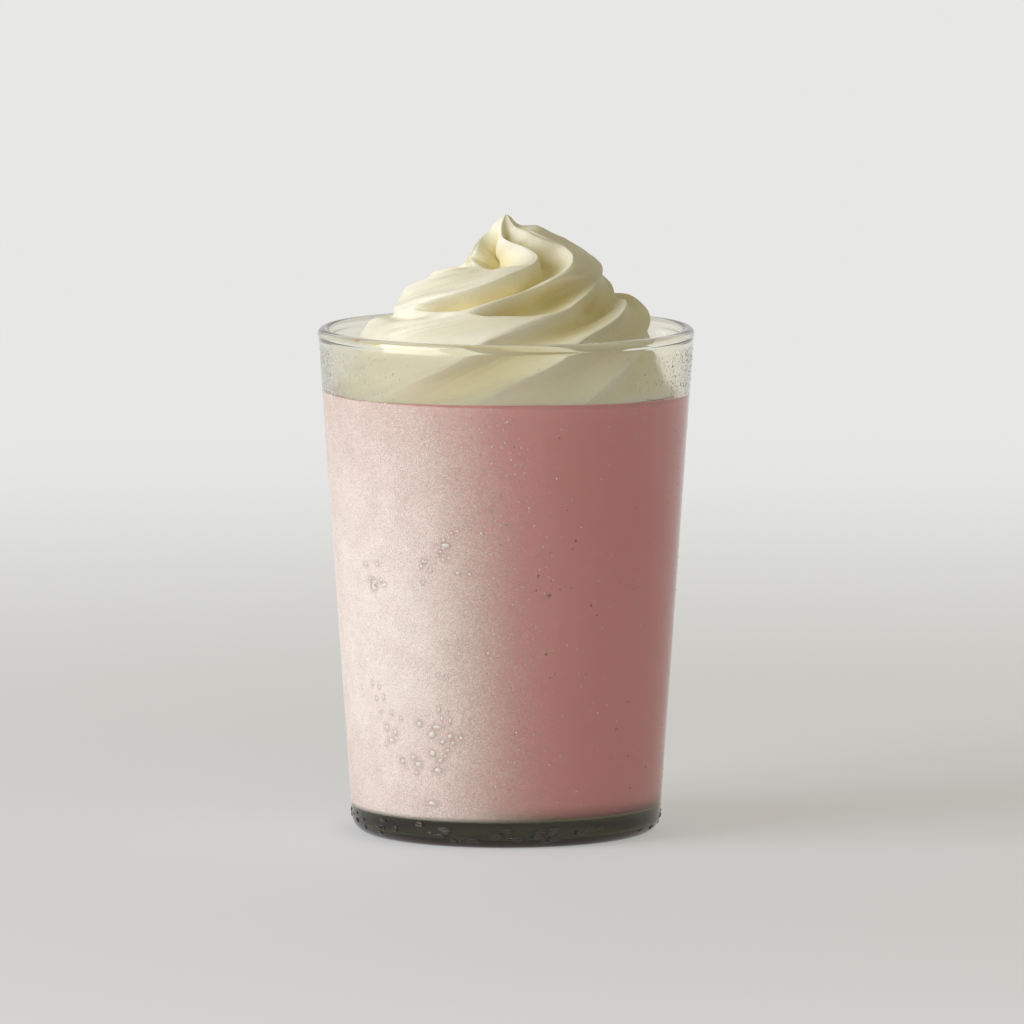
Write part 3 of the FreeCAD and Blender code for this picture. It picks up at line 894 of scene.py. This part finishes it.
def drops_mesh(name, drops, columns, rings, steepness):
    """Domes of water on the outside wall, sunk by their rims; a row is one drop as in BEADS."""
    angle, height, half_width, half_height = np.asarray(drops, float).T
    angle = np.radians(angle)
    across = np.stack([np.cos(angle), np.sin(angle), 0 * angle], -1)
    out = np.stack([np.sin(angle), -np.cos(angle), 0 * angle], -1)
    centre = outside_radius(height)[:, None] * out
    centre[:, 2] = height
    turn = np.arange(columns) * 2 * math.pi / columns
    reach = np.sin(np.arange(1, rings + 1) / rings * math.pi / 2)
    rise = np.sqrt(np.maximum(1 - reach ** 2, 0))
    thick = steepness * np.minimum(half_width, half_height)

    def placed(right, up, depth):
        """One point of every drop, from its middle to the right and up, and out from the glass."""
        curve = (right ** 2) / (2 * wall_radius(height))
        slope = outside_radius(height + up) - outside_radius(height)
        point = centre + across * right[:, None] + out * (depth - curve + slope)[:, None]
        point[:, 2] += up
        return point

    nothing = np.zeros_like(thick)
    layers = [placed(nothing, nothing, thick)]
    for ring in range(rings):
        for column in range(columns):
            right = half_width * reach[ring] * math.cos(turn[column])
            up = half_height * reach[ring] * math.sin(turn[column])
            sink = DROP_SINK if ring == rings - 1 else 0.0
            layers.append(placed(right, up, thick * rise[ring] - sink))
    layers.append(placed(nothing, nothing, nothing - 2 * DROP_SINK))
    vertices = np.stack(layers, 1)
    each = vertices.shape[1]
    faces = []
    for column in range(columns):
        after = (column + 1) % columns
        faces.append((0, 1 + column, 1 + after))
        for ring in range(rings - 1):
            low = 1 + ring * columns
            faces.append((low + column, low + columns + column, low + after))
            faces.append((low + after, low + columns + column, low + columns + after))
        rim = 1 + (rings - 1) * columns
        faces.append((each - 1, rim + after, rim + column))
    faces = np.array(faces)[None] + each * np.arange(len(vertices))[:, None, None]
    return smooth_mesh(name, vertices.reshape(-1, 3).tolist(), faces.reshape(-1, 3).tolist())


def scattered(draw, count, lowest, highest, smallest, tall):
    """Random small drops all round between two heights, most of them near the smallest size."""
    width = smallest + (LARGEST_DROPLET - smallest) * draw.random(count) ** 3
    return np.stack([draw.uniform(-180, 180, count), draw.uniform(lowest, highest, count),
                     width, width * draw.uniform(0.8, tall, count)], -1)


def front_spray(draw):
    """Fine drops just right of the thick mist, painted bright by their whitish water as a glint."""
    drops = scattered(draw, SPRAY_DROPLETS, lowest=50 * MM, highest=DRINK_LEVEL,
                      smallest=0.12 * MM, tall=1.2)
    drops[:, 0] = draw.normal(SPRAY_AT, SPRAY_SPREAD, SPRAY_DROPLETS)
    return drops


def fog_droplets(draw):
    """Small drops on the bare wall above the drink, crowded towards its two sides."""
    drops = scattered(draw, FOG_DROPLETS, lowest=DRINK_LEVEL, highest=GLASS_HEIGHT - 4 * MM,
                      smallest=0.08 * MM, tall=1.7)
    on_left = draw.random(FOG_DROPLETS) < FOG_ON_LEFT
    drops[:, 0] = np.where(on_left, draw.normal(LEFT_FOG, LEFT_FOG_SPREAD, FOG_DROPLETS),
                           draw.normal(RIGHT_FOG, RIGHT_FOG_SPREAD, FOG_DROPLETS))
    return drops


def water(name, clear):
    """Water that is all clear at 1; below that it is whitish, a painted glint, as small drops look in
    bright light.
    """
    material, tree, shader = node_material(name)
    shader.inputs["Transmission Weight"].default_value = clear
    shader.inputs["IOR"].default_value = 1.33
    shader.inputs["Base Color"].default_value = WATER_TINT_AND_PAINTED_GLINT
    tree.links.new(times(tree, add_mottle(tree, 400.0), 0.05), shader.inputs["Roughness"])
    return material


draw = np.random.default_rng(7)
droplets = scattered(draw, DROPLETS, lowest=8 * MM, highest=DRINK_LEVEL, smallest=0.09 * MM, tall=1.2)
droplets = np.concatenate([droplets, front_spray(draw), fog_droplets(draw)])
# Whitish water paints glints on the fine droplets and beads, which are really clear water.
water_with_painted_glints = water("water_painted_with_glints", clear=0.25)
add_piece("fine_droplets", drops_mesh("fine_droplets", droplets, columns=7, rings=2, steepness=0.6),
          water_with_painted_glints, "glass")
add_piece("water_beads", drops_mesh("water_beads", FRONT_BEADS, columns=20, rings=6, steepness=0.34),
          water_with_painted_glints, "glass")


def bead_clusters(draw):
    """Clusters of beads round the rest of the glass, where there is no mist."""
    beads = []
    for middle, level in BACK_CLUSTERS:
        for _ in range(CLUSTER_BEADS):
            width = draw.uniform(0.3, 0.8) * MM
            beads.append((draw.normal(middle, 9), draw.normal(level, 6) * MM, width,
                          width * draw.uniform(0.6, 1.2)))
    return beads


def foot_runs(draw):
    """Flat irregular drops that have run together on the thick foot."""
    width = draw.uniform(0.4, 2.2, FOOT_DROPS) * MM
    return np.stack([draw.uniform(-180, 180, FOOT_DROPS), draw.uniform(1.6, 5.4, FOOT_DROPS) * MM,
                     width, draw.uniform(0.3, 0.75, FOOT_DROPS) * MM], -1)


clear_drops = np.concatenate([foot_runs(draw), bead_clusters(draw)])
add_piece("clear_drops", drops_mesh("clear_drops", clear_drops, columns=16, rings=4, steepness=0.4),
          water("clear_water", clear=1.0), "glass")

# ---------------------------------------------------------------- air bubbles
# Small bubbles of air that the blending left in the drink, held against the wall. They show as
# darker round pits in the pink.
BUBBLES = [  # degrees round the glass, then height and radius in millimetres
    (-5, 80.9, 0.62), (0, 77.6, 0.36), (-2, 72.8, 0.30), (-12, 77.7, 0.30), (15, 60.5, 0.50),
    (24, 73.4, 0.34), (23, 71.5, 0.22), (15, 70.8, 0.18), (11, 65.4, 0.32), (-16, 88.1, 0.34),
    (23, 62.2, 0.22), (-11, 63.0, 0.26), (-21, 60.8, 0.32),
]
BUBBLE_COUNT = 260
BUBBLE_STANDS_OUT = 0.05 * MM
BUBBLE_TONES = ((0.34, 0.15, 0.14, 1), (0.42, 0.20, 0.19, 1))


def bubbles_mesh(draw):
    """Flat domes that stand from the drink into the wall."""
    bubbles = [(angle, height * MM, radius * MM) for angle, height, radius in BUBBLES]
    for _ in range(BUBBLE_COUNT):
        radius = 0.08 + 0.3 * draw.random() ** 3
        bubbles.append((draw.uniform(-180, 180), draw.uniform(10, 100) * MM, radius * MM))
    angle, height, radius = np.array(bubbles).T
    drops = np.stack([angle, height, radius, radius], -1)
    mesh = drops_mesh("air_bubbles", drops, columns=12, rings=3, steepness=0.12)
    for vertex in mesh.vertices:
        outside = math.hypot(vertex.co.x, vertex.co.y)
        inside = outside - WALL + WETS_GLASS + BUBBLE_STANDS_OUT
        vertex.co.x *= inside / outside
        vertex.co.y *= inside / outside
    return mesh


def bubble_pink():
    """The drink's own pink, in the shade inside a bubble."""
    material, tree, shader = node_material("bubble_pink")
    two_tones(tree, shader, add_mottle(tree, 900.0), *BUBBLE_TONES)
    shader.inputs["Roughness"].default_value = 0.3
    return material


add_piece("air_bubbles", bubbles_mesh(draw), bubble_pink(), "milkshake")
